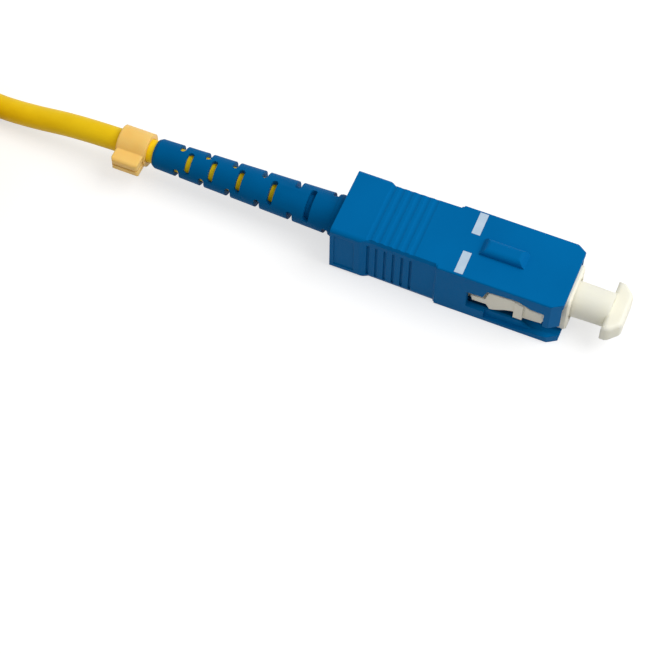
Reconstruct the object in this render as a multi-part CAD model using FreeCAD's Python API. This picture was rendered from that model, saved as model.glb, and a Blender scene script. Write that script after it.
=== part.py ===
"""SC fibre connector on a simplex pigtail: housing, plug frame, sprung ferrule, boot, cap and cord.

+X runs along the connector towards the ferrule, +Z is up on the key side, and the housing's bottom
face is at z = 0. Sizes are in millimetres. Lengths named BACK_... are measured from the housing's
front face towards the cord.
"""
import FreeCAD, Part
import math
import os

V = FreeCAD.Vector
os.makedirs("parts", exist_ok=True)

# Standard interface sizes
HOUSING_WIDTH = 9.0
HOUSING_HEIGHT = 7.4
FERRULE_DIAMETER = 2.5
FERRULE_LENGTH = 10.5
FIBRE_DIAMETER = 0.125
BUFFER_DIAMETER = 0.9
CABLE_DIAMETER = 2.8

# Where the length falls
HOUSING_LENGTH = 27.2
BACK_SHOULDER = 14.5
BOOT_BEYOND_HOUSING = 23.35
BACK_BOOT_TAIL = HOUSING_LENGTH + BOOT_BEYOND_HOUSING
FERRULE_AHEAD = 2.65
FRAME_AHEAD = 0.45
CAP_HANDLE_AHEAD = 4.35
CAP_END_AHEAD = 6.45
FRONT_X = (BACK_BOOT_TAIL - CAP_END_AHEAD) / 2
AXIS_Z = HOUSING_HEIGHT / 2

# Clearances
SLIDE_GAP = 0.08
RUN_GAP = 0.02
SKIN = 0.01


def back(distance):
    """X of a plane that lies this far behind the housing's front face."""
    return FRONT_X - distance


def block(x, y, z):
    """Box from three (low, high) pairs."""
    return Part.makeBox(x[1] - x[0], y[1] - y[0], z[1] - z[0], V(x[0], y[0], z[0]))


def rod(x_low, x_high, radius):
    """Round bar on the connector's axis."""
    return Part.makeCylinder(radius, x_high - x_low, V(x_low, 0, AXIS_Z), V(1, 0, 0))


def tube(x_low, x_high, outer, inner):
    """Round tube on the connector's axis."""
    return rod(x_low, x_high, outer).cut(rod(x_low, x_high, inner))


def turned(profile):
    """Solid of revolution about the connector's axis from (x, radius) points."""
    points = [V(x, 0, AXIS_Z + radius) for x, radius in profile]
    face = Part.Face(Part.makePolygon(points + points[:1]))
    return face.revolve(V(0, 0, AXIS_Z), V(1, 0, 0), 360)


def plate(outline, low, high, plane="xy"):
    """Flat outline pushed through a thickness; the outline is in the XY or the XZ plane."""
    if plane == "xy":
        points = [V(a, b, low) for a, b in outline]
        push = V(0, 0, high - low)
    else:
        points = [V(a, low, b) for a, b in outline]
        push = V(0, high - low, 0)
    return Part.Face(Part.makePolygon(points + points[:1])).extrude(push)


def rounded_bar(x_low, x_high, half_y, half_z, radius):
    """Bar along X about the connector's axis, with its four long edges rounded."""
    bar = block((x_low, x_high), (-half_y, half_y), (AXIS_Z - half_z, AXIS_Z + half_z))
    long_edges = [e for e in bar.Edges if abs(e.tangentAt(e.FirstParameter).x) > 0.99]
    return bar.makeFillet(radius, long_edges)


def fuse(first, *others):
    return first.fuse(list(others)).removeSplitter()


def mirrored(shape):
    """The same shape on the other side of the connector's middle plane."""
    return shape.mirror(V(0, 0, 0), V(0, 1, 0))


def save(shape, node):
    for solid in shape.Solids:
        if not solid.isValid() or solid.Volume <= 0:
            raise ValueError(node + " has a bad solid")
    shape.exportStep("parts/%s.step" % node)
    box = shape.BoundBox
    print("%-18s %8.2f mm3  x %.2f..%.2f  y %.2f..%.2f  z %.2f..%.2f" % (
        node, shape.Volume, box.XMin, box.XMax, box.YMin, box.YMax, box.ZMin, box.ZMax))


# Outer housing: a hollow grip sleeve, made as a plan outline cut down to a rounded section
WALL_SIDE = 0.72
WALL_TOP = 0.65
BLOCK_LENGTH = 3.6
BLOCK_RAMP = 1.0
WAIST_HALF = HOUSING_WIDTH / 2 - 0.44
WAIST_FRONT_HALF = HOUSING_WIDTH / 2 - 0.32
WAIST_EDGE_IN = 0.15
WAIST_EDGE_DOWN = 0.5
SHOULDER_RAMP = 0.25
CORNER_BACK = 1.2
CORNER_IN = 0.78
REAR_EDGE_ROUND = 0.55
FRONT_EDGE_ROUND = 0.18
CAVITY_STEP_BACK = 13.5
REAR_CAVITY_HALF_Y = 3.2
REAR_CAVITY_HALF_Z = 2.9
REAR_MOUTH_LENGTH = 5.2
REAR_MOUTH_HALF_Y = 2.95
REAR_MOUTH_HALF_Z = 2.75
GRIP_COUNT = 6
GRIP_PITCH = 1.02
GRIP_WIDTH = 0.3
GRIP_DEPTH = 0.15
GRIP_SIDE_Z = (0.5, AXIS_Z + 2.6)
GRIP_TOP_WIDTH = 0.66
GRIP_TOP_DEPTH = 0.09
GRIP_FIRST_INSIDE = 4.45
GRIP_FIRST_BACK = HOUSING_LENGTH - GRIP_FIRST_INSIDE
KEY_WIDTH = 2.1
KEY_HEIGHT = 0.8
KEY_BACK = (5.6, 10.9)
KEY_RAMP = 0.6
KEY_ROUND = 0.6
WINDOW_OUTLINE = (
    (10.8, -1.85), (10.8, 0.95), (8.95, 1.0), (8.5, 2.36), (5.65, 2.57), (4.8, 2.55),
    (3.45, 1.86), (1.85, 1.76), (1.85, -1.85),
)
WINDOW_ROUND = 0.12
SLOT_BACK = 8.65
SLOT_TOP = AXIS_Z - 0.6
SLOT_RAMP_BACK = 5.2
SLOT_LIP = 1.3
SLOT_REAR_DEPTH = 0.42
SLOT_STEP = ((3.3, 0.85), (6.3, SLOT_TOP))
PANEL_DEPTH = 0.12
PANEL_BACK = (HOUSING_LENGTH - 0.5, HOUSING_LENGTH - 2.9)
PANEL_Z = (AXIS_Z - 2.8, AXIS_Z + 2.8)
MARK_BACK = (11.6, 12.6)
MARK_Y = (1.26, HOUSING_WIDTH / 2 - 0.26)
MARK_DEPTH = 0.25
CAVITY_HALF_Y = HOUSING_WIDTH / 2 - WALL_SIDE
CAVITY_HALF_Z = HOUSING_HEIGHT / 2 - WALL_TOP


def housing_plan():
    half = HOUSING_WIDTH / 2
    side = [
        (back(HOUSING_LENGTH), half - 0.02),
        (back(HOUSING_LENGTH - BLOCK_LENGTH), half - 0.02),
        (back(HOUSING_LENGTH - BLOCK_LENGTH - BLOCK_RAMP), WAIST_HALF),
        (back(BACK_SHOULDER + SHOULDER_RAMP), WAIST_FRONT_HALF),
        (back(BACK_SHOULDER), half),
        (back(CORNER_BACK), half),
        (FRONT_X, half - CORNER_IN),
    ]
    return side + [(x, -y) for x, y in reversed(side)]


def waist_wedge(rear, front):
    """Cutter for one long top edge between two places, each (distance back, half width, share)."""
    slant = WAIST_EDGE_DOWN / WAIST_EDGE_IN
    ends = []
    for distance, half, share in (rear, front):
        high, out = HOUSING_HEIGHT + 1, half + 1
        edge = half - share * WAIST_EDGE_IN
        corners = [(edge - 1 / slant, high), (out, high), (out, HOUSING_HEIGHT - slant * (out - edge))]
        ends.append([V(back(distance), y, z) for y, z in corners])
    rims = ends + [[a, b, d, c] for a, b, c, d in zip(ends[0], ends[0][1:] + ends[0][:1],
                                                      ends[1], ends[1][1:] + ends[1][:1])]
    faces = [Part.Face(Part.makePolygon(rim + rim[:1])) for rim in rims]
    wedge = Part.makeSolid(Part.makeShell(faces))
    return wedge if wedge.Volume > 0 else wedge.reversed()


def waist_edges():
    """The finger waist's four long edges are cut at a slant that dies out on the rear ramp."""
    block_end = (HOUSING_LENGTH - BLOCK_LENGTH, HOUSING_WIDTH / 2, 0)
    waist_rear = (HOUSING_LENGTH - BLOCK_LENGTH - BLOCK_RAMP, WAIST_HALF, 1)
    waist_front = (BACK_SHOULDER + SHOULDER_RAMP, WAIST_FRONT_HALF, 1)
    wedges = [waist_wedge(block_end, waist_rear), waist_wedge(waist_rear, waist_front)]
    wedges += [w.mirror(V(0, 0, AXIS_Z), V(0, 0, 1)) for w in wedges]
    return wedges + [mirrored(w) for w in wedges]


def side_window():
    """Latch window in one side wall, and the slot under it: blind at the rear, open to the front."""
    through = -CAVITY_HALF_Y + 0.6
    outline = [(back(distance), AXIS_Z + height) for distance, height in WINDOW_OUTLINE]
    window = plate(outline, -HOUSING_WIDTH, through, "xz")
    corners = [e for e in window.Edges if abs(e.tangentAt(e.FirstParameter).y) > 0.99]
    window = window.makeFillet(WINDOW_ROUND, corners)
    rear = [(SLOT_BACK, SLOT_TOP), (SLOT_BACK, WALL_TOP), (SLOT_RAMP_BACK, WALL_TOP)]
    front = [(-1, SLOT_TOP), (-1, SLOT_LIP)]
    rear, front = [[(back(distance), z) for distance, z in line]
                   for line in (rear + list(SLOT_STEP), front + list(SLOT_STEP))]
    blind = plate(rear, -HOUSING_WIDTH, SLOT_REAR_DEPTH - HOUSING_WIDTH / 2, "xz")
    return [window, blind, plate(front, -HOUSING_WIDTH, through, "xz")]


def key_rib():
    low, high = back(KEY_BACK[1]), back(KEY_BACK[0])
    top = HOUSING_HEIGHT + KEY_HEIGHT
    rib = plate([
        (low, HOUSING_HEIGHT - 0.2), (low, HOUSING_HEIGHT), (low + KEY_RAMP, top),
        (high - KEY_RAMP, top), (high, HOUSING_HEIGHT), (high, HOUSING_HEIGHT - 0.2),
    ], -KEY_WIDTH / 2, KEY_WIDTH / 2, "xz")
    crest = [e for e in rib.Edges if e.BoundBox.ZMin > top - 0.01]
    return rib.makeFillet(KEY_ROUND, crest)


def mark_blocks(depth, proud):
    z = (HOUSING_HEIGHT - depth, HOUSING_HEIGHT + proud)
    mark = block((back(MARK_BACK[1]), back(MARK_BACK[0])), MARK_Y, z)
    return [mark, mirrored(mark)]


def make_outer_housing():
    rear_x, half_y, half_z = back(HOUSING_LENGTH), HOUSING_WIDTH / 2, HOUSING_HEIGHT / 2
    rear = rounded_bar(rear_x, back(BACK_SHOULDER), half_y, half_z, REAR_EDGE_ROUND)
    front = rounded_bar(back(BACK_SHOULDER), FRONT_X, half_y, half_z, FRONT_EDGE_ROUND)
    body = rear.fuse(front).common(plate(housing_plan(), -1, HOUSING_HEIGHT + 1))
    body = body.fuse(key_rib())

    mouth_end = back(HOUSING_LENGTH - REAR_MOUTH_LENGTH)
    cuts = [
        rounded_bar(back(CAVITY_STEP_BACK), FRONT_X + 1, CAVITY_HALF_Y, CAVITY_HALF_Z, 0.3),
        rounded_bar(mouth_end, back(CAVITY_STEP_BACK), REAR_CAVITY_HALF_Y, REAR_CAVITY_HALF_Z, 0.8),
        rounded_bar(rear_x - 1, mouth_end, REAR_MOUTH_HALF_Y, REAR_MOUTH_HALF_Z, 1.2),
    ]
    hollow_r = (GRIP_TOP_WIDTH ** 2 / 4 + GRIP_TOP_DEPTH ** 2) / (2 * GRIP_TOP_DEPTH)
    for number in range(GRIP_COUNT):
        x = back(GRIP_FIRST_BACK - number * GRIP_PITCH)
        span = (x - GRIP_WIDTH / 2, x + GRIP_WIDTH / 2)
        groove = block(span, (-HOUSING_WIDTH, GRIP_DEPTH - WAIST_HALF), GRIP_SIDE_Z)
        hollow = Part.makeCylinder(
            hollow_r, 2 * HOUSING_WIDTH,
            V(x, -HOUSING_WIDTH, HOUSING_HEIGHT - GRIP_TOP_DEPTH + hollow_r), V(0, 1, 0))
        cuts += [groove, mirrored(groove), hollow]
    panel_x = (back(PANEL_BACK[0]), back(PANEL_BACK[1]))
    panel = block(panel_x, (-HOUSING_WIDTH, PANEL_DEPTH - half_y), PANEL_Z)
    cuts += [panel, mirrored(panel)] + waist_edges()
    for cut in side_window():
        cuts += [cut, mirrored(cut)]
    return body.cut(cuts + mark_blocks(MARK_DEPTH, 1)).removeSplitter()


def make_alignment_marks():
    return Part.makeCompound(mark_blocks(MARK_DEPTH, 0.015))


# Plug frame: the inner moulding that the adapter's latches hold
FRAME_HALF_Y = CAVITY_HALF_Y - SLIDE_GAP
LATCH_RELIEF = 0.85
LATCH_BELOW_FACE = 0.5
LATCH_HALF_Y = HOUSING_WIDTH / 2 - LATCH_BELOW_FACE
UPRIGHT_PROUD = 0.1
UPRIGHT_OUTLINE = ((5.38, -1.5), (4.33, -1.5), (4.33, 1.22), (5.38, 1.5))
LATCH_OUTLINE = (
    (10.42, -0.15), (10.25, -0.98), (8.6, -0.92), (8.15, -1.68), (7.6, -1.5), (6.35, -0.8),
    (5.3, -0.45), (4.3, -0.45), (4.3, 1.2), (4.9, 1.55), (8.4, 1.43), (8.75, 0.0),
)
NOSE_OUTLINE = ((4.35, -1.6), (2.15, -1.43), (2.1, 0.31), (3.63, 0.4), (4.35, 0.8))
FRAME_CORE_HALF_Y = FRAME_HALF_Y - LATCH_RELIEF
FRAME_HALF_Z = CAVITY_HALF_Z - SLIDE_GAP
FRAME_COLLAR_BACK = 12.3
FRAME_STEP_BACK = 13.3
FRAME_REAR_INSIDE = 9.7
FRAME_REAR_BACK = HOUSING_LENGTH - FRAME_REAR_INSIDE
FRAME_TAIL_HALF_Y = 2.95
FRAME_TAIL_HALF_Z = 2.75
FRAME_CORE_ROUND = 0.8
FRAME_BORE = 2.4
FRAME_SEAT_BACK = (4.2, 5.2)
FRAME_SEAT_BORE = 1.6
BARB_BACK = (FRAME_REAR_BACK - 2.2, FRAME_REAR_BACK - 1.1)
BARB_HALF_Y = 1.2


def side_latch():
    """Latch on one side of the frame: thin rib and wide body, upright, and a lower tapered nose."""
    heights = (
        (LATCH_OUTLINE, LATCH_HALF_Y), (UPRIGHT_OUTLINE, LATCH_HALF_Y + UPRIGHT_PROUD),
        (NOSE_OUTLINE, FRAME_HALF_Y),
    )
    return [plate([(back(distance), AXIS_Z + height) for distance, height in outline],
                  -half_y, -FRAME_CORE_HALF_Y + 0.1, "xz") for outline, half_y in heights]


def make_plug_frame():
    step_x, nose_x = back(FRAME_STEP_BACK), FRONT_X + FRAME_AHEAD
    core = rounded_bar(step_x, nose_x, FRAME_CORE_HALF_Y, FRAME_HALF_Z, FRAME_CORE_ROUND)
    nose = [e for e in core.Edges if e.BoundBox.XMin > nose_x - 0.01]
    core = core.makeChamfer(0.2, nose)
    collar = rounded_bar(step_x, back(FRAME_COLLAR_BACK), FRAME_HALF_Y, FRAME_HALF_Z, 0.3)
    tail = rounded_bar(back(FRAME_REAR_BACK), step_x, FRAME_TAIL_HALF_Y, FRAME_TAIL_HALF_Z, 0.6)
    latches = side_latch() + [mirrored(s) for s in side_latch()]
    body = core.fuse([collar, tail] + latches)
    seat_rear, seat_front = back(FRAME_SEAT_BACK[1]), back(FRAME_SEAT_BACK[0])
    barb_slot = block((back(BARB_BACK[1]), back(BARB_BACK[0])), (-BARB_HALF_Y, BARB_HALF_Y),
                      (AXIS_Z - FRAME_TAIL_HALF_Z, AXIS_Z + FRAME_TAIL_HALF_Z))
    return body.cut([
        rod(back(FRAME_REAR_BACK) - 1, seat_rear, FRAME_BORE),
        rod(seat_rear - 1, seat_front + 1, FRAME_SEAT_BORE),
        rod(seat_front, FRONT_X + 2, FRAME_BORE),
        barb_slot,
    ]).removeSplitter()


# Ferrule, flange, guide tube and fibre, which float on the spring as one body
FERRULE_TIP_X = FRONT_X + FERRULE_AHEAD
FERRULE_R = FERRULE_DIAMETER / 2
FLANGE_R = 2.3
FLANGE_BACK = (5.22, 8.7)
GUIDE_R = 0.85
STOP_REACH = 2.9
STOP_FRONT_BACK = FRAME_REAR_BACK - STOP_REACH
GUIDE_REAR_BACK = STOP_FRONT_BACK + 0.9
FIBRE_R = FIBRE_DIAMETER / 2
BUFFER_R = BUFFER_DIAMETER / 2
BUFFER_INSIDE_BOOT = 2.95
BUFFER_REAR_BACK = BACK_BOOT_TAIL - BUFFER_INSIDE_BOOT


def make_ferrule():
    rear = FERRULE_TIP_X - FERRULE_LENGTH
    return turned([
        (rear, FIBRE_R + SKIN), (rear, FERRULE_R - 0.1), (rear + 0.1, FERRULE_R),
        (FERRULE_TIP_X - 0.6, FERRULE_R), (FERRULE_TIP_X - 0.08, FERRULE_R - 0.35),
        (FERRULE_TIP_X, 0.45), (FERRULE_TIP_X, FIBRE_R + SKIN),
    ])


def make_ferrule_flange():
    front, rear = back(FLANGE_BACK[0]), back(FLANGE_BACK[1])
    ferrule_rear = FERRULE_TIP_X - FERRULE_LENGTH
    collar = turned([
        (rear, GUIDE_R), (rear, 1.75), (rear + 0.9, 1.75), (rear + 0.9, FLANGE_R),
        (front - 0.8, FLANGE_R), (front, 1.9), (front, FERRULE_R), (ferrule_rear, FERRULE_R),
        (ferrule_rear, GUIDE_R),
    ])
    key_slots = block((rear + 0.8, front + 1), (-0.35, 0.35), (AXIS_Z + 1.75, AXIS_Z + 3))
    return collar.cut([key_slots, key_slots.mirror(V(0, 0, AXIS_Z), V(0, 0, 1))])


def make_guide_tube():
    return tube(back(GUIDE_REAR_BACK), FERRULE_TIP_X - FERRULE_LENGTH, GUIDE_R, BUFFER_R + SKIN)


def make_bare_fibre():
    return rod(FERRULE_TIP_X - FERRULE_LENGTH, FERRULE_TIP_X, FIBRE_R)


def make_buffered_fibre():
    return rod(back(BUFFER_REAR_BACK), FERRULE_TIP_X - FERRULE_LENGTH - SKIN, BUFFER_R)


# Spring: closed and ground at both ends, so its seat coils are rings and the rest is a helix
SPRING_WIRE_R = 0.2
SPRING_R = 2.05
SPRING_TURNS = 5
SPRING_WIRE_SIDES = 6


def make_spring():
    low, high = back(STOP_FRONT_BACK) + SKIN, back(FLANGE_BACK[1]) - SKIN
    seat = 2 * SPRING_WIRE_R
    pitch = (high - low - seat) / SPRING_TURNS
    helix = Part.makeHelix(pitch, high - low - seat, SPRING_R)
    angles = [2 * math.pi * (side + 0.5) / SPRING_WIRE_SIDES for side in range(SPRING_WIRE_SIDES)]
    corners = [V(SPRING_R + SPRING_WIRE_R * math.cos(a), 0, SPRING_WIRE_R * math.sin(a)) for a in angles]
    start = Part.makePolygon(corners + corners[:1])
    coil = Part.Wire(helix).makePipeShell([start], True, True)
    coil.rotate(V(0, 0, 0), V(0, 1, 0), 90)
    coil.translate(V(low + SPRING_WIRE_R, 0, AXIS_Z))
    return coil


# Stop ring: turned back body with two barbs in the frame and a grooved post for the crimp
STOP_FLANGE_BACK = (FRAME_REAR_BACK, FRAME_REAR_BACK + 1.1)
STOP_FLANGE_R = 2.75
STOP_NECK_R = 2.3
STOP_BORE_R = 0.95
STOP_NECK_LENGTH = 1.0
POST_LENGTH = 4.0
POST_BACK = (STOP_FLANGE_BACK[1] + STOP_NECK_LENGTH, STOP_FLANGE_BACK[1] + STOP_NECK_LENGTH + POST_LENGTH)
POST_R = 1.55
POST_GROOVES = 2
POST_GROOVE_DEPTH = 0.12


def make_stop_ring():
    front = back(STOP_FRONT_BACK)
    sleeve_r = FRAME_BORE - RUN_GAP
    profile = [
        (front, STOP_BORE_R), (front, sleeve_r - 0.12), (front - 0.12, sleeve_r),
        (back(STOP_FLANGE_BACK[0]), sleeve_r), (back(STOP_FLANGE_BACK[0]), STOP_FLANGE_R),
        (back(STOP_FLANGE_BACK[1]), STOP_FLANGE_R), (back(STOP_FLANGE_BACK[1]), STOP_NECK_R),
        (back(POST_BACK[0]), STOP_NECK_R), (back(POST_BACK[0]), POST_R),
    ]
    pitch = (POST_BACK[1] - POST_BACK[0]) / (POST_GROOVES + 1)
    for number in range(POST_GROOVES):
        middle = back(POST_BACK[0] + pitch * (number + 1))
        profile += [(middle + pitch / 4, POST_R), (middle, POST_R - POST_GROOVE_DEPTH),
                    (middle - pitch / 4, POST_R)]
    profile += [(back(POST_BACK[1]), POST_R), (back(POST_BACK[1]), STOP_BORE_R)]
    rear_x, front_x = back(BARB_BACK[1]) + 0.1, back(BARB_BACK[0]) - 0.1
    barb = plate([
        (front_x, sleeve_r - 0.3), (front_x, sleeve_r),
        (rear_x, FRAME_BORE + 0.22), (rear_x, sleeve_r - 0.3),
    ], -BARB_HALF_Y + 0.2, BARB_HALF_Y - 0.2, "xz")
    barb.translate(V(0, 0, AXIS_Z))
    return fuse(turned(profile), barb, barb.mirror(V(0, 0, AXIS_Z), V(0, 0, 1)))


# Crimp sleeve, aramid yarn and the held stretch of cable
CABLE_R = CABLE_DIAMETER / 2
JACKET_BORE = 0.96
YARN_THICK = 0.14
SLEEVE_BACK = (POST_BACK[0] + 0.2, POST_BACK[1] + 0.6, POST_BACK[1] + 1.4, POST_BACK[1] + 4.0)
SLEEVE_WALL = 0.28
JACKET_FRONT_BACK = SLEEVE_BACK[2] + 0.1
YARN_FRONT_BACK = SLEEVE_BACK[0] + 0.2
YARN_REAR_BACK = BACK_BOOT_TAIL - 0.25


def make_crimp_sleeve():
    big = POST_R + YARN_THICK + SKIN
    small = CABLE_R + SKIN
    a, b, c, d = [back(distance) for distance in SLEEVE_BACK]
    return turned([
        (a, big), (a, big + SLEEVE_WALL), (b, big + SLEEVE_WALL), (c, small + SLEEVE_WALL),
        (d, small + SLEEVE_WALL), (d, small), (c, small), (b, big),
    ])


def make_aramid_yarn():
    inner = POST_R + SKIN
    outer = POST_R + YARN_THICK
    post_end = back(POST_BACK[1])
    jacket_front = back(JACKET_FRONT_BACK)
    yarn_outer = JACKET_BORE - SKIN
    yarn_inner = BUFFER_R + 0.03
    return turned([
        (back(YARN_FRONT_BACK), inner), (back(YARN_FRONT_BACK), outer), (back(SLEEVE_BACK[1]), outer),
        (jacket_front + 0.1, yarn_outer), (back(YARN_REAR_BACK), yarn_outer),
        (back(YARN_REAR_BACK), yarn_inner), (jacket_front + 0.3, yarn_inner),
        (post_end - 0.05, inner - 0.15), (post_end - 0.05, inner),
    ])


def make_cable_in_boot():
    return tube(back(BACK_BOOT_TAIL), back(JACKET_FRONT_BACK), CABLE_R, JACKET_BORE)


# Boot: tapered strain relief with cross slots in pairs, each pair turned a quarter from the last
BOOT_FRONT_BACK = SLEEVE_BACK[0] + 0.1
BOOT_COLLAR_BACK = HOUSING_LENGTH + 0.95
BOOT_COLLAR_R = 2.5
BOOT_BIG_R = 2.44
BOOT_TAIL_R = 1.78
BOOT_TAIL_ROUND = 0.35
BOOT_BORE = CABLE_R + 0.06
BOOT_STEP_BACK = SLEEVE_BACK[3] + 0.1
BOOT_SIDE_SLOTS = (10.0, 13.65, 17.0, 20.15)
BOOT_FACE_SLOTS = (8.5, 12.55, 15.95, 18.9)
BOOT_SLOT_WIDTH = 0.7
BOOT_SLOT_END_SIDES = 8
BOOT_SIDE_HALF = 42.0
BOOT_FACE_HALF = 31.0
BOOT_BLIND_SLOTS = ((1.5, 90.0, 27.0, 0.6), (3.9, 0.0, 44.0, 0.2), (5.9, 90.0, 42.0, 0.2))
BOOT_ROLL = 33.0


def boot_blank():
    sleeve_r = POST_R + YARN_THICK + SKIN + SLEEVE_WALL + 0.03
    step_r = CABLE_R + SKIN + SLEEVE_WALL + 0.03
    front, tail = back(BOOT_FRONT_BACK), back(BACK_BOOT_TAIL)
    collar = back(BOOT_COLLAR_BACK)
    return turned([
        (front, sleeve_r), (front, BOOT_COLLAR_R), (collar, BOOT_COLLAR_R),
        (collar, BOOT_BIG_R), (tail + BOOT_TAIL_ROUND, BOOT_TAIL_R), (tail, BOOT_TAIL_R - 0.2),
        (tail, BOOT_BORE), (back(BOOT_STEP_BACK + 0.3), BOOT_BORE), (back(BOOT_STEP_BACK), step_r),
        (back(SLEEVE_BACK[2]), step_r), (back(SLEEVE_BACK[1]), sleeve_r),
    ])


def cross_slot(x, middle, half, inner):
    """Slot in the boot's wall down to a radius, rounded at both ends; angles turn about the axis."""
    outer = BOOT_COLLAR_R + 1
    low, high = x - BOOT_SLOT_WIDTH / 2, x + BOOT_SLOT_WIDTH / 2
    sides = range(BOOT_SLOT_END_SIDES)
    corner_r = BOOT_SLOT_WIDTH / 2 / math.cos(math.pi / BOOT_SLOT_END_SIDES)
    angles = [2 * math.pi * (side + 0.5) / BOOT_SLOT_END_SIDES for side in sides]
    ring = [(x + corner_r * math.cos(a), corner_r * math.sin(a)) for a in angles]
    corners = [(low, inner), (high, inner), (high, outer), (low, outer)]
    face = Part.Face(Part.makePolygon([V(a, 0, r) for a, r in corners + corners[:1]]))
    slot = face.revolve(V(0, 0, 0), V(1, 0, 0), 2 * half)
    slot.rotate(V(0, 0, 0), V(1, 0, 0), -half)
    ends = []
    for turn in (-half, half):
        end = plate(ring, inner, outer)
        end.rotate(V(0, 0, 0), V(1, 0, 0), turn)
        ends.append(end)
    slot = slot.fuse(ends)
    slot.rotate(V(0, 0, 0), V(1, 0, 0), middle)
    slot.translate(V(0, 0, AXIS_Z))
    return slot


def make_boot():
    """The slots nearest the housing leave a skin over the bore, and the others open to the cable."""
    through = -0.2
    places = list(BOOT_BLIND_SLOTS)
    places += [(distance, 90.0, BOOT_SIDE_HALF, through) for distance in BOOT_SIDE_SLOTS]
    places += [(distance, 0.0, BOOT_FACE_HALF, through) for distance in BOOT_FACE_SLOTS]
    slots = []
    for distance, turn, half, skin in places:
        for middle in (BOOT_ROLL + turn, BOOT_ROLL + turn + 180):
            slots.append(cross_slot(back(HOUSING_LENGTH + distance), middle, half, BOOT_BORE + skin))
    return boot_blank().cut(slots)


# Dust cap: blind tube over the ferrule with a flat handle across its end
CAP_R = 2.12
CAP_END_R = 2.0
CAP_INNER_AHEAD = -1.9
CAP_BLIND_AHEAD = 3.5
CAP_BORE = FERRULE_R + RUN_GAP
HANDLE_HALF_Y = 3.35
HANDLE_HALF_Z = 1.3
HANDLE_CUT = 1.3
HANDLE_END_ROUND = 0.9
HANDLE_EDGE_ROUND = 0.5


def make_dust_cap():
    inner_x, handle_x = FRONT_X + CAP_INNER_AHEAD, FRONT_X + CAP_HANDLE_AHEAD
    end_x = FRONT_X + CAP_END_AHEAD
    shaft = turned([
        (inner_x, CAP_BORE), (inner_x, CAP_R - 0.15), (inner_x + 0.15, CAP_R),
        (handle_x + 0.3, CAP_END_R), (handle_x + 0.3, 0), (FRONT_X + CAP_BLIND_AHEAD, 0),
        (FRONT_X + CAP_BLIND_AHEAD, CAP_BORE),
    ])
    plan = [
        (handle_x, HANDLE_HALF_Y), (end_x - HANDLE_CUT, HANDLE_HALF_Y),
        (end_x, HANDLE_HALF_Y - HANDLE_CUT),
    ]
    plan += [(x, -y) for x, y in reversed(plan)]
    handle = plate(plan, AXIS_Z - HANDLE_HALF_Z, AXIS_Z + HANDLE_HALF_Z)
    end_edges = [e for e in handle.Edges if e.BoundBox.ZLength > 1 and e.BoundBox.XMin > handle_x + 0.1]
    handle = handle.makeFillet(HANDLE_END_ROUND, end_edges)
    flat_edges = [e for e in handle.Edges if e.BoundBox.ZLength < 0.01]
    return fuse(shaft, handle.makeFillet(HANDLE_EDGE_ROUND, flat_edges))


# Cable clip: a ring round the cord that closes with two jaws
CLIP_BACK = (BACK_BOOT_TAIL + 0.8, BACK_BOOT_TAIL + 4.4)
CLIP_R = 1.98
CLIP_BORE = CABLE_R + RUN_GAP
JAW_OUT = 3.45
JAW_HALF_Z = 1.0
JAW_SLIT = 0.12


def make_cable_clip():
    low, high = back(CLIP_BACK[1]), back(CLIP_BACK[0])
    ring = rod(low, high, CLIP_R)
    jaws = block((low + 0.15, high - 0.15), (-JAW_OUT, -1.2), (AXIS_Z - JAW_HALF_Z, AXIS_Z + JAW_HALF_Z))
    tips = [e for e in jaws.Edges if e.BoundBox.YMax < -JAW_OUT + 0.01]
    jaws = jaws.makeFillet(0.35, tips)
    slit = block((low - 1, high + 1), (-JAW_OUT - 1, 0), (AXIS_Z - JAW_SLIT, AXIS_Z + JAW_SLIT))
    return ring.fuse(jaws).cut([rod(low - 1, high + 1, CLIP_BORE), slit]).removeSplitter()


# Free cord: a tube along its laid stretch and one ring for the wound length
TIE_THICK = 0.3
TIE_HALF_WIDTH = 2.0
COIL_TURN_R = 14.0
COIL_COLUMNS = 3
COIL_LAYERS = 5
COIL_OUTER_R = COIL_TURN_R + COIL_COLUMNS * CABLE_DIAMETER / 2
COIL_INNER_R = COIL_TURN_R - COIL_COLUMNS * CABLE_DIAMETER / 2
COIL_BEHIND_BOOT = 35.0
COIL_CENTRE = (back(BACK_BOOT_TAIL) - COIL_BEHIND_BOOT, HOUSING_WIDTH / 2 - COIL_OUTER_R)
CORD_STRAIGHT = 9.0
LAY_Z = CABLE_R + TIE_THICK
CORD_END_X = COIL_CENTRE[0] + RUN_GAP + math.sqrt(
    COIL_OUTER_R ** 2 - (COIL_CENTRE[1] + CABLE_R) ** 2)
ROUTE = [
    V(back(BACK_BOOT_TAIL), 0, AXIS_Z),
    V(back(BACK_BOOT_TAIL) - CORD_STRAIGHT, 0, AXIS_Z),
    V(CORD_END_X, 0, LAY_Z),
]


def route_path(points):
    """Straight runs joined by the largest tangent arcs that the runs allow; prints each radius."""
    edges = []
    start = points[0]
    for before, corner, after in zip(points, points[1:], points[2:]):
        into, out = corner - before, after - corner
        reach = 0.45 * min(into.Length, out.Length)
        turn = into.getAngle(out)
        into.normalize()
        out.normalize()
        first, last = corner - into * reach, corner + out * reach
        bisector = out - into
        bisector.normalize()
        radius = reach / math.tan(turn / 2)
        centre = first + (bisector - into * bisector.dot(into)).normalize() * radius
        middle = centre + (corner - centre).normalize() * radius
        edges += [Part.LineSegment(start, first).toShape(), Part.Arc(first, middle, last).toShape()]
        print("cord arc radius %.1f mm" % radius)
        start = last
    edges.append(Part.LineSegment(start, points[-1]).toShape())
    return Part.Wire(edges)


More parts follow.
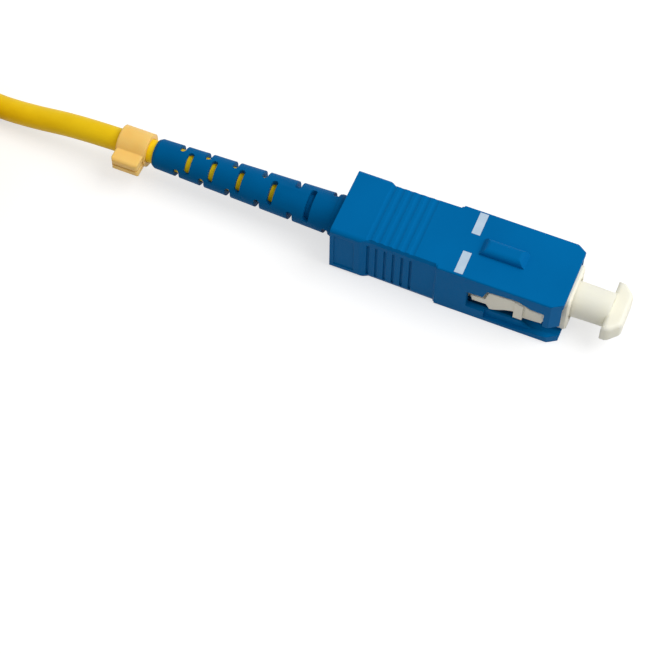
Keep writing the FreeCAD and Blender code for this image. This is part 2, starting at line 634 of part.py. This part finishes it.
def make_cable():
    path = route_path(ROUTE)
    section = Part.Wire(Part.makeCircle(CABLE_R, ROUTE[0], ROUTE[1] - ROUTE[0]))
    cord = path.makePipeShell([section], True, True)
    print("cord tube volume %.2f, section x length %.2f" % (
        cord.Volume, math.pi * CABLE_R ** 2 * path.Length))
    return cord


def make_cable_coil():
    height = COIL_LAYERS * CABLE_DIAMETER
    centre = V(COIL_CENTRE[0], COIL_CENTRE[1], TIE_THICK)
    hole = Part.makeCylinder(COIL_INNER_R, height, centre)
    return Part.makeCylinder(COIL_OUTER_R, height, centre).cut(hole)


def make_coil_tie():
    """Flat strip wrapped once round the coil's section, on the side away from the connector."""
    x_mid, y_mid = COIL_CENTRE
    half, top = TIE_HALF_WIDTH, TIE_THICK + COIL_LAYERS * CABLE_DIAMETER + SKIN
    x_out = x_mid - COIL_OUTER_R - SKIN
    x_in = x_mid - math.sqrt(COIL_INNER_R ** 2 - half ** 2) + SKIN
    span = (y_mid - half, y_mid + half)
    band = block((x_out - TIE_THICK, x_in + TIE_THICK), span, (0, top + TIE_THICK))
    return band.cut(block((x_out, x_in), (span[0] - 1, span[1] + 1), (TIE_THICK, top)))


BUILDERS = {
    "outer_housing": make_outer_housing,
    "alignment_marks": make_alignment_marks,
    "plug_frame": make_plug_frame,
    "ferrule": make_ferrule,
    "ferrule_flange": make_ferrule_flange,
    "guide_tube": make_guide_tube,
    "bare_fibre": make_bare_fibre,
    "buffered_fibre": make_buffered_fibre,
    "ferrule_spring": make_spring,
    "stop_ring": make_stop_ring,
    "crimp_sleeve": make_crimp_sleeve,
    "aramid_yarn": make_aramid_yarn,
    "cable_in_boot": make_cable_in_boot,
    "boot": make_boot,
    "dust_cap": make_dust_cap,
    "cable_clip": make_cable_clip,
    "cable": make_cable,
    "cable_coil": make_cable_coil,
    "coil_tie": make_coil_tie,
}

for name, make in BUILDERS.items():
    save(make(), name)
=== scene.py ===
"""SC fibre connector on a coiled yellow pigtail, dressed and lit. The scene is in metres. The route
and the coil of the cord are written in millimetres, until its curve is made."""

import math
import bmesh
import bpy
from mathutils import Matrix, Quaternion, Vector


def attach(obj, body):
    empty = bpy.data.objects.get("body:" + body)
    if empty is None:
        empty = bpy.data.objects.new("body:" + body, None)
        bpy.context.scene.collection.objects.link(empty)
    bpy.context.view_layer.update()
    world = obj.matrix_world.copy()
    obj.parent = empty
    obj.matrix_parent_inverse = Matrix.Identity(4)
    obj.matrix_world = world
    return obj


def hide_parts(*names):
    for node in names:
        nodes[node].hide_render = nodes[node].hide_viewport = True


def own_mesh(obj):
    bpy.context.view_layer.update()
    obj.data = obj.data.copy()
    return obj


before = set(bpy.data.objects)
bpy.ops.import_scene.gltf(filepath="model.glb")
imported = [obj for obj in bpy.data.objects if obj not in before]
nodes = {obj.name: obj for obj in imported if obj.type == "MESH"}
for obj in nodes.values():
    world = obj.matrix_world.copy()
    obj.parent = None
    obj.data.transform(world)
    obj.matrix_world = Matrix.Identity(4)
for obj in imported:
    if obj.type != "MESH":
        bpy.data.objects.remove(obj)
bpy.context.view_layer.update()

# Camera: the connector is seen from its near side and high above with a long lens, level with
# the horizon to within a degree.
MM = 0.001
CAMERA_PLACE = Vector((43.05, -125.87, 203.16)) * MM
CAMERA_TARGET = Vector((-1.46, -14.09, 3.7)) * MM
CAMERA_ROLL = math.radians(0.915)
CAMERA_LENS = 116.9
CAMERA_SENSOR = 36.0
CAMERA_NEAREST = 0.01
CAMERA_FARTHEST = 10.0

camera = bpy.data.objects.new("camera", bpy.data.cameras.new("camera"))
bpy.context.scene.collection.objects.link(camera)
camera.data.lens = CAMERA_LENS
camera.data.sensor_width = CAMERA_SENSOR
camera.data.clip_start = CAMERA_NEAREST
camera.data.clip_end = CAMERA_FARTHEST
camera.location = CAMERA_PLACE
camera.rotation_mode = "QUATERNION"
aim = (CAMERA_TARGET - CAMERA_PLACE).to_track_quat("-Z", "Y")
camera.rotation_quaternion = aim @ Quaternion((0, 0, 1), CAMERA_ROLL)
bpy.context.scene.camera = camera
bpy.context.scene.view_settings.view_transform = "Standard"


# Cord: a 2.8 mm simplex cable with a soft yellow PVC jacket, 1 m long. It runs straight out of the
# boot, comes down on the floor and is wound into a neat coil of five layers of up to three rings.
# Each ring eases over to the next one, and each layer climbs gently onto the one below.
CORD_RADIUS = 1.4 * MM
CORD_ROUTE = [
    (-28.5, 0, 3.7), (-37.5, 0, 3.7), (-45.0, -0.1, 2.3), (-50.5, 0.15, 1.7), (-55.2, 1.5, 1.7),
]
COIL_CENTRE = (-63.5, -13.7)
COIL_RADII = (16.8, 13.95, 11.1)
COIL_LOW = 1.7
COIL_LAYER = 2.8
COIL_LAYERS = 5
COIL_START = 78
COIL_STEP = 15
FULL_TURN = 360
EASE = 105

CLOUD_EDGES = (0.3, 0.7)
CLOUD_DETAIL = 3
GRAIN_DETAIL = 2
GRAIN_STRENGTH = 0.5
EDGE_SAMPLES = 4


def coil_moves():
    """Moves of the winding: degrees round the coil, the radius and the height that each ends at."""
    moves = []
    for layer in range(COIL_LAYERS):
        height = COIL_LOW + layer * COIL_LAYER
        first, second, third = COIL_RADII if layer % 2 == 0 else COIL_RADII[::-1]
        climbed = 0 if layer == 0 else EASE
        moves += [(FULL_TURN - EASE - climbed, first, height), (EASE, second, height)]
        if layer < COIL_LAYERS - 1:
            moves += [
                (FULL_TURN - EASE, second, height), (EASE, third, height),
                (FULL_TURN - 2 * EASE, third, height), (EASE, third, height + COIL_LAYER),
            ]
        else:
            moves.append((EASE, second, height))
    return moves


def on_coil(degrees, radius, height):
    """Point of the coil at an angle round its centre, in millimetres."""
    angle = math.radians(degrees)
    return (COIL_CENTRE[0] + radius * math.cos(angle), COIL_CENTRE[1] + radius * math.sin(angle), height)


def coil_points():
    """Points along the winding, and the angle, radius and height of the last one."""
    points, angle, radius, height = [], COIL_START, COIL_RADII[0], COIL_LOW
    for degrees, to_radius, to_height in coil_moves():
        steps = degrees // COIL_STEP
        for step in range(steps):
            share = (1 - math.cos(math.pi * step / steps)) / 2
            points.append(on_coil(angle + COIL_STEP * step, radius + (to_radius - radius) * share,
                                  height + (to_height - height) * share))
        angle, radius, height = angle + degrees, to_radius, to_height
    return points, (angle - COIL_STEP, radius, height)


def nurbs_tube(name, lines, radius, steps=6, facets=7):
    """Round bars, each along one smooth NURBS line whose control points are in millimetres."""
    curve = bpy.data.curves.new(name, "CURVE")
    curve.dimensions = "3D"
    for points in lines:
        spline = curve.splines.new("NURBS")
        spline.points.add(len(points) - 1)
        for point, place in zip(spline.points, points):
            point.co = (*(Vector(place) * MM), 1.0)
        spline.order_u = 3
        spline.use_endpoint_u = True
    curve.resolution_u = steps
    curve.bevel_depth = radius
    curve.bevel_resolution = facets
    curve.use_fill_caps = True
    tube = bpy.data.objects.new(name, curve)
    bpy.context.scene.collection.objects.link(tube)
    return tube


def colour(red, green, blue):
    """Linear colour with alpha from the three screen values of a colour, 0 to 255."""
    screen = [value / 255 for value in (red, green, blue)]
    return (*(part / 12.92 if part <= 0.04045 else ((part + 0.055) / 1.055) ** 2.4 for part in screen), 1.0)


def noise(tree, place, scale, detail):
    """Soft noise all through a piece, with so many features to the metre."""
    pattern = tree.nodes.new("ShaderNodeTexNoise")
    pattern.inputs["Scale"].default_value = scale
    pattern.inputs["Detail"].default_value = detail
    tree.links.new(place.outputs["Object"], pattern.inputs["Vector"])
    return pattern.outputs["Fac"]


def moulded_finish(name, light, dark, rough, cloud, grain, depth, round_edge=0.0):
    """Moulded plastic: two near tints in soft clouds, uneven gloss, a fine grain and eased edges.
    The depth of the grain and the radius of the edges are in millimetres."""
    finish = bpy.data.materials.new(name)
    finish.use_nodes = True
    tree = finish.node_tree
    shader = tree.nodes["Principled BSDF"]
    place = tree.nodes.new("ShaderNodeTexCoord")

    tint = tree.nodes.new("ShaderNodeValToRGB")
    for stop, edge, shade in zip(tint.color_ramp.elements, CLOUD_EDGES, (dark, light)):
        stop.position = edge
        stop.color = shade
    tree.links.new(noise(tree, place, cloud, CLOUD_DETAIL), tint.inputs["Fac"])
    tree.links.new(tint.outputs["Color"], shader.inputs["Base Color"])

    grains = noise(tree, place, grain, GRAIN_DETAIL)
    gloss = tree.nodes.new("ShaderNodeMapRange")
    gloss.inputs["To Min"].default_value = rough[0]
    gloss.inputs["To Max"].default_value = rough[1]
    tree.links.new(grains, gloss.inputs["Value"])
    tree.links.new(gloss.outputs["Result"], shader.inputs["Roughness"])
    bump = tree.nodes.new("ShaderNodeBump")
    bump.inputs["Strength"].default_value = GRAIN_STRENGTH
    bump.inputs["Distance"].default_value = depth * MM
    tree.links.new(grains, bump.inputs["Height"])
    tree.links.new(bump.outputs["Normal"], shader.inputs["Normal"])
    if round_edge:
        edges = tree.nodes.new("ShaderNodeBevel")
        edges.samples = EDGE_SAMPLES
        edges.inputs["Radius"].default_value = round_edge * MM
        tree.links.new(edges.outputs["Normal"], bump.inputs["Normal"])
    return finish


def tune(finish, values):
    """Values that are the same all over a piece, set on the sockets of its finish's shader."""
    shader = finish.node_tree.nodes["Principled BSDF"]
    for socket, value in values.items():
        shader.inputs[socket].default_value = value


wound, coil_end = coil_points()
cord = nurbs_tube("cord", [CORD_ROUTE + wound], CORD_RADIUS)
jacket = moulded_finish("jacket_yellow", light=colour(252, 214, 26), dark=colour(241, 199, 17),
                        rough=(0.38, 0.5), cloud=260, grain=1800, depth=0.02)
tune(jacket, {"Specular IOR Level": 0.3, "Specular Tint": colour(255, 235, 140)})
cord.data.materials.append(jacket)
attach(cord, "inner_body")
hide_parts("cable", "cable_coil")


# Cut end of the cord: the jacket is cut square and a short length of white buffered fibre stands
# out of it, with the aramid strands round it trimmed a little shorter. It lies on the coil.
STUB_DEGREES = 36
STUB_STEP = 6
STUB_RADIUS = 0.45 * MM
STRANDS = 14
STRAND_DEGREES = 24
STRAND_TRIM = 0.25
STRAND_JUMP = 5.1
STRAND_ROOT = -4
STRAND_SHARES = (0.0, 0.3, 0.65, 1.0)
STRAND_RADIUS = 0.07 * MM
STRAND_SPREAD = 0.75
STRAND_FLARE = 0.55
STRAND_TWIST = 0.6


def beyond_end(degrees, out=0.0, up=0.0):
    """Point beyond the cord's end along the coil, shifted outwards and upwards in millimetres."""
    angle, radius, height = coil_end
    return on_coil(angle + degrees, radius + out, height + up)


def strand_line(number):
    """Line of one strand: it starts in the jacket, flares and twists a little, and ends unevenly."""
    lean = 2 * math.pi * number / STRANDS
    reach = STRAND_DEGREES * (1 - STRAND_TRIM + STRAND_TRIM * math.sin(STRAND_JUMP * number))
    line = []
    for share in STRAND_SHARES:
        spread = STRAND_SPREAD * (1 + STRAND_FLARE * share * share)
        turn = lean + STRAND_TWIST * share
        line.append(beyond_end(STRAND_ROOT + (reach - STRAND_ROOT) * share,
                               spread * math.cos(turn), spread * math.sin(turn)))
    return line


stub_line = [beyond_end(degrees) for degrees in range(-STUB_STEP, STUB_DEGREES + 1, STUB_STEP)]
stub = nurbs_tube("cord_end_buffer", [stub_line], STUB_RADIUS)
buffer_white = moulded_finish("buffer_white", light=colour(240, 240, 236), dark=colour(230, 230, 226),
                              rough=(0.35, 0.45), cloud=400, grain=3000, depth=0.005)
stub.data.materials.append(buffer_white)
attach(stub, "inner_body")

tuft = nurbs_tube("cord_end_aramid", [strand_line(number) for number in range(STRANDS)],
                  STRAND_RADIUS, steps=4, facets=2)
aramid = moulded_finish("aramid_yarn", light=colour(226, 190, 92), dark=colour(208, 168, 66),
                        rough=(0.5, 0.7), cloud=900, grain=6000, depth=0.02)
tune(aramid, {"Sheen Weight": 0.3})
tuft.data.materials.append(aramid)
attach(tuft, "inner_body")


# Coil tie: a flat strap of soft black plastic. It is wrapped once round all the turns on one side
# of the coil, and its ends are welded together.
def dress(node, finish):
    """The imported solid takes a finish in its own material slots."""
    mesh = nodes[node].data
    if not mesh.materials:
        mesh.materials.append(finish)
    for number in range(len(mesh.materials)):
        mesh.materials[number] = finish


strap = moulded_finish("tie_black", light=colour(38, 38, 40), dark=colour(26, 26, 28),
                       rough=(0.5, 0.65), cloud=300, grain=2200, depth=0.03, round_edge=0.08)
dress("coil_tie", strap)


# Ferrule and fibre: a zirconia cylinder, ground to size, with the bare glass fibre glued in its
# bore. Both are polished together on the front end, and light goes a little way into them.
def let_light_in(finish, weight, tint, reach):
    """Light goes into the piece and comes out a short way off; the reach is in millimetres."""
    tune(finish, {"Subsurface Weight": weight, "Subsurface Radius": tint, "Subsurface Scale": reach * MM})


zirconia = moulded_finish("zirconia", light=colour(243, 241, 236), dark=colour(238, 236, 230),
                          rough=(0.08, 0.16), cloud=500, grain=5000, depth=0.002)
let_light_in(zirconia, weight=0.2, tint=(1.0, 0.9, 0.8), reach=0.4)
tune(zirconia, {"Coat Weight": 0.4})
dress("ferrule", zirconia)

glass = moulded_finish("fibre_glass", light=colour(214, 228, 232), dark=colour(204, 220, 226),
                       rough=(0.04, 0.08), cloud=4000, grain=20000, depth=0.001)
tune(glass, {"Transmission Weight": 0.6})
dress("bare_fibre", glass)


# Ferrule flange: a collar turned from brass and plated with nickel, pressed on the ferrule's rear
# end. The marks of the lathe's tool run round it.
METAL_CLOUD = 700
METAL_GRAIN = 2000
RING_WANDER = 1.5
RING_DETAIL = 2


def metal_finish(name, light, dark, rough, lines, depth):
    """Turned or drawn metal: rings round the connector's axis in the bump, over an uneven gloss."""
    finish = moulded_finish(name, light, dark, rough, METAL_CLOUD, METAL_GRAIN, depth)
    tune(finish, {"Metallic": 1.0})
    tree = finish.node_tree
    rings = tree.nodes.new("ShaderNodeTexWave")
    rings.bands_direction = "X"
    rings.inputs["Scale"].default_value = lines
    rings.inputs["Distortion"].default_value = RING_WANDER
    rings.inputs["Detail"].default_value = RING_DETAIL
    tree.links.new(tree.nodes["Texture Coordinate"].outputs["Object"], rings.inputs["Vector"])
    tree.links.new(rings.outputs["Fac"], tree.nodes["Bump"].inputs["Height"])
    return finish


nickel = metal_finish("nickel_brass", light=colour(206, 202, 192), dark=colour(190, 185, 172),
                      rough=(0.18, 0.3), lines=2200, depth=0.004)
dress("ferrule_flange", nickel)


# Guide tube and buffered fibre: a drawn tube of natural nylon in the back of the flange, which
# leads the white buffered fibre to the ferrule.
natural = moulded_finish("tube_natural", light=colour(226, 221, 206), dark=colour(214, 208, 190),
                         rough=(0.3, 0.42), cloud=500, grain=2600, depth=0.006)
tune(natural, {"Transmission Weight": 0.1})
dress("guide_tube", natural)
dress("buffered_fibre", buffer_white)


spring_steel = metal_finish("spring_steel", light=colour(188, 190, 192), dark=colour(168, 170, 173),
                            rough=(0.2, 0.34), lines=3000, depth=0.003)
dress("ferrule_spring", spring_steel)
spring = bpy.data.objects.new("float_spring", nodes["ferrule_spring"].data.copy())
bpy.context.scene.collection.objects.link(spring)
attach(spring, "inner_body")
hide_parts("ferrule_spring")
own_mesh(spring)


# Stop ring and crimp sleeve: a turned and nickelled post that closes the spring in, and a drawn
# tube crimped on it. The sleeve holds the aramid strands on the post and the cord's jacket behind.
crimp_metal = metal_finish("crimp_metal", light=colour(196, 192, 182), dark=colour(178, 173, 160),
                           rough=(0.22, 0.36), lines=1800, depth=0.006)
dress("stop_ring", crimp_metal)
dress("crimp_sleeve", crimp_metal)
dress("aramid_yarn", aramid)
dress("cable_in_boot", jacket)


# Plug frame: the inner body that the adapter's hooks hold, moulded in ivory PBT. The stop ring
# snaps into its rear end, and its side latches show in the housing's windows.
frame_ivory = moulded_finish("frame_ivory", light=colour(253, 247, 230), dark=colour(249, 242, 223),
                             rough=(0.35, 0.48), cloud=300, grain=2200, depth=0.01, round_edge=0.12)
let_light_in(frame_ivory, weight=0.3, tint=(1.0, 0.95, 0.85), reach=0.5)
dress("plug_frame", frame_ivory)


# Outer housing: the sleeve that the fingers grip, moulded in blue PBT. Its top and sides have the
# light even grain of a spark-finished mould, and the blue is the colour of a flat-polished ferrule.
BLUE_GLOSS = {"Specular IOR Level": 0.08, "Specular Tint": colour(40, 150, 235)}

housing_blue = moulded_finish("housing_blue", light=colour(0, 106, 169), dark=colour(0, 101, 162),
                              rough=(0.4, 0.52), cloud=120, grain=2600, depth=0.012, round_edge=0.12)
tune(housing_blue, BLUE_GLOSS)
dress("outer_housing", housing_blue)


# Alignment marks: two white bars moulded flush into the housing's top. They show how far the
# housing is pushed in.
mark_white = moulded_finish("mark_white", light=colour(188, 208, 226), dark=colour(174, 197, 218),
                            rough=(0.45, 0.6), cloud=900, grain=2600, depth=0.01)
dress("alignment_marks", mark_white)


# Boot: soft blue thermoplastic rubber moulded in one piece, duller than the housing. Its slots
# leave bands that let it bend evenly, and the yellow jacket shows through them.
boot_blue = moulded_finish("boot_blue", light=colour(0, 95, 152), dark=colour(0, 89, 143),
                           rough=(0.5, 0.62), cloud=180, grain=2000, depth=0.02, round_edge=0.12)
tune(boot_blue, BLUE_GLOSS)
dress("boot", boot_blue)


# Cord clip: a small peach-coloured ring of soft plastic that snaps shut round the cord behind the
# boot. The colour tells the two cords of a pair apart.
peach = moulded_finish("clip_peach", light=colour(255, 210, 118), dark=colour(252, 200, 98),
                       rough=(0.36, 0.5), cloud=300, grain=1500, depth=0.02, round_edge=0.25)
let_light_in(peach, weight=0.2, tint=(1.0, 0.55, 0.25), reach=0.5)
dress("cable_clip", peach)


# Dust cap: soft milky polyethylene that lets some light through. It is moulded in one piece with
# a flat handle to pull, and is pushed on the ferrule, which it grips lightly.
cap_milky = moulded_finish("cap_milky", light=colour(248, 245, 228), dark=colour(244, 241, 223),
                           rough=(0.34, 0.46), cloud=260, grain=1600, depth=0.015, round_edge=0.3)
let_light_in(cap_milky, weight=0.5, tint=(1.0, 0.97, 0.88), reach=1.2)
dress("dust_cap", cap_milky)


# Floor and light: a plain white sweep, one broad soft lamp above the connector's front and a little
# behind it, and an even pale surround. The top faces read bright, and the near side stays darker.
# The floor glows more away from the part, where the lamp fades, so that it looks white all over.
FLOOR_HALF = 1.5
FLOOR_SEEN = 0.5
FLOOR_BOUNCE = 0.45
FLOOR_GLOW = 0.62
FLOOR_FAR_GLOW = 0.755
FLOOR_NEAR = 0.25
FLOOR_FAR = 1.0
SURROUND = 0.49
SURROUND_SEEN = 1.0
KEY_POWER = 2.35
KEY_PLACE = Vector((0.34, 0.12, 0.46))
KEY_SIZE = 0.45


def seen_or_reflected(tree):
    """Socket that is 1 for rays from the camera and for mirror or glass rays, and 0 otherwise."""
    path = tree.nodes.new("ShaderNodeLightPath")
    seen = path.outputs["Is Camera Ray"]
    for ray in ("Is Glossy Ray", "Is Transmission Ray"):
        either = tree.nodes.new("ShaderNodeMath")
        either.operation = "MAXIMUM"
        tree.links.new(seen, either.inputs[0])
        tree.links.new(path.outputs[ray], either.inputs[1])
        seen = either.outputs[0]
    return seen


def glow_by_distance(tree):
    """Socket with the floor's glow, which grows from near the part to far away."""
    place = tree.nodes.new("ShaderNodeTexCoord")
    distance = tree.nodes.new("ShaderNodeVectorMath")
    distance.operation = "LENGTH"
    tree.links.new(place.outputs["Object"], distance.inputs[0])
    fade = tree.nodes.new("ShaderNodeMapRange")
    fade.inputs["From Min"].default_value = FLOOR_NEAR
    fade.inputs["From Max"].default_value = FLOOR_FAR
    fade.inputs["To Min"].default_value = FLOOR_GLOW
    fade.inputs["To Max"].default_value = FLOOR_FAR_GLOW
    tree.links.new(distance.outputs["Value"], fade.inputs["Value"])
    return fade.outputs["Result"]


mesh = bpy.data.meshes.new("floor")
grid = bmesh.new()
bmesh.ops.create_grid(grid, x_segments=1, y_segments=1, size=FLOOR_HALF)
grid.to_mesh(mesh)
grid.free()
floor = bpy.data.objects.new("floor", mesh)
bpy.context.scene.collection.objects.link(floor)

paint = bpy.data.materials.new("floor_white")
paint.use_nodes = True
tree = paint.node_tree
seen = seen_or_reflected(tree)
tone = tree.nodes.new("ShaderNodeMix")
tone.data_type = "RGBA"
tone.inputs["A"].default_value = (FLOOR_BOUNCE, FLOOR_BOUNCE, FLOOR_BOUNCE, 1)
tone.inputs["B"].default_value = (FLOOR_SEEN, FLOOR_SEEN, FLOOR_SEEN, 1)
tree.links.new(seen, tone.inputs["Factor"])
diffuse = tree.nodes.new("ShaderNodeBsdfDiffuse")
tree.links.new(tone.outputs["Result"], diffuse.inputs["Color"])
strength = tree.nodes.new("ShaderNodeMath")
strength.operation = "MULTIPLY"
tree.links.new(seen, strength.inputs[0])
tree.links.new(glow_by_distance(tree), strength.inputs[1])
glow = tree.nodes.new("ShaderNodeEmission")
tree.links.new(strength.outputs[0], glow.inputs["Strength"])
both = tree.nodes.new("ShaderNodeAddShader")
tree.links.new(diffuse.outputs[0], both.inputs[0])
tree.links.new(glow.outputs[0], both.inputs[1])
tree.links.new(both.outputs[0], tree.nodes["Material Output"].inputs["Surface"])
mesh.materials.append(paint)

world = bpy.data.worlds.new("surround")
world.use_nodes = True
bpy.context.scene.world = world
tree = world.node_tree
level = tree.nodes.new("ShaderNodeMix")
level.inputs["A"].default_value = SURROUND
level.inputs["B"].default_value = SURROUND_SEEN
tree.links.new(seen_or_reflected(tree), level.inputs["Factor"])
sky = tree.nodes["Background"]
sky.inputs["Color"].default_value = (1, 1, 1, 1)
tree.links.new(level.outputs["Result"], sky.inputs["Strength"])

lamp = bpy.data.lights.new("key", "AREA")
lamp.shape = "SQUARE"
lamp.size = KEY_SIZE
lamp.energy = KEY_POWER
key = bpy.data.objects.new("key", lamp)
key.location = KEY_PLACE
key.rotation_euler = (-KEY_PLACE).to_track_quat("-Z", "Y").to_euler()
bpy.context.scene.collection.objects.link(key)
